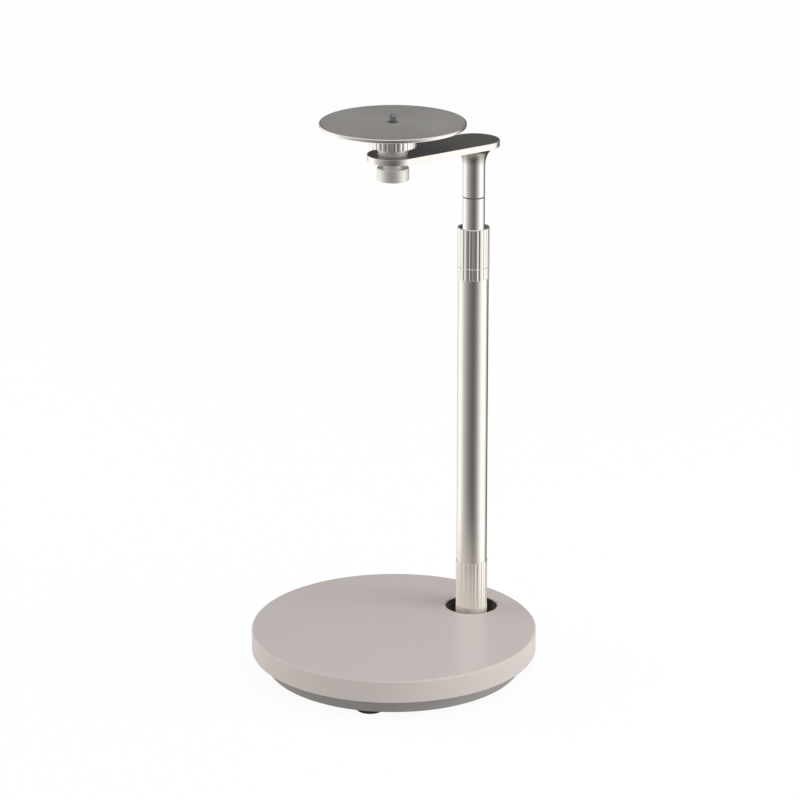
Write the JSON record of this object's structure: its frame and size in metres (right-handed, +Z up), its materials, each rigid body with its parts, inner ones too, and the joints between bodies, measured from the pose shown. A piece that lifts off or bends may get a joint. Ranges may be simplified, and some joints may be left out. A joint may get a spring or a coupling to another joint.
{
  "type": "projector stand",
  "caption": "Table stand for a small projector: round weighted base, twist-lock telescopic column, swinging arm, and a round tray with a camera screw worked by a knob below.",
  "frame": {"origin": "on the floor under the centre of the round base, which is also the axis of the tray", "axes": "+Z up, +Y from the middle of the base towards the column, +X to the right of someone who faces the stand with the column behind"},
  "size_m": [0.25, 0.25, 0.4996],
  "materials": {
    "cover_paint": "matte champagne paint on pressed steel",
    "plinth_plastic": "fine matte moulding",
    "weight_iron": "raw casting",
    "satin_alloy": "satin champagne anodised",
    "bright_alloy": "bright turned champagne anodised",
    "black_plastic": "matte black moulding",
    "inlay_dark": "dark satin panel",
    "pad_grip": "fine rings, satin grey",
    "foot_rubber": "matte dark rubber",
    "bolt_steel": "plated steel"
  },
  "bodies": {
    "base": {"base_cover": "cover_paint", "base_plinth": "plinth_plastic", "base_weight": "weight_iron", "socket_liner": "black_plastic", "column_plug": "satin_alloy", "column_bolt": "bolt_steel", "foot_pad_1": "foot_rubber", "foot_pad_2": "foot_rubber", "foot_pad_3": "foot_rubber", "foot_pad_4": "foot_rubber", "foot_collar": "bright_alloy", "outer_tube": "satin_alloy", "collar_seat": "bright_alloy", "guide_bush": "black_plastic"},
    "collar": {"lock_collar": "bright_alloy"},
    "mast": {"inner_tube": "satin_alloy", "slide_foot": "black_plastic", "swivel_pin": "bolt_steel", "swivel_washer": "black_plastic"},
    "arm": {"swing_arm": "satin_alloy", "arm_inlay": "inlay_dark", "arm_boss": "satin_alloy"},
    "tray": {"tray_hub": "bright_alloy", "tray_disc": "satin_alloy", "tray_pad": "pad_grip"},
    "knob": {"clamp_knob": "satin_alloy", "knob_core": "satin_alloy", "tripod_screw": "bolt_steel"}
  },
  "joints": [
    {"name": "collar_twist", "type": "hinge", "parent": "base", "child": "collar", "pos_m": [0, 0.0856, 0.371], "axis": [0, 0, 1], "range_deg": [0, 120]},
    {"name": "mast_slide", "type": "slide", "parent": "base", "child": "mast", "axis": [0, 0, 1], "range_m": [-0.02, 0.17]},
    {"name": "arm_swivel", "type": "hinge", "parent": "mast", "child": "arm", "pos_m": [0, 0.0856, 0.41575], "axis": [0, 0, 1], "continuous": true},
    {"name": "tray_turn", "type": "hinge", "parent": "arm", "child": "tray", "pos_m": [0, 0, 0.47265], "axis": [0, 0, 1], "continuous": true},
    {"name": "knob_turn", "type": "hinge", "parent": "arm", "child": "knob", "pos_m": [0, 0, 0.4494], "axis": [0, 0, 1], "continuous": true}
  ]
}
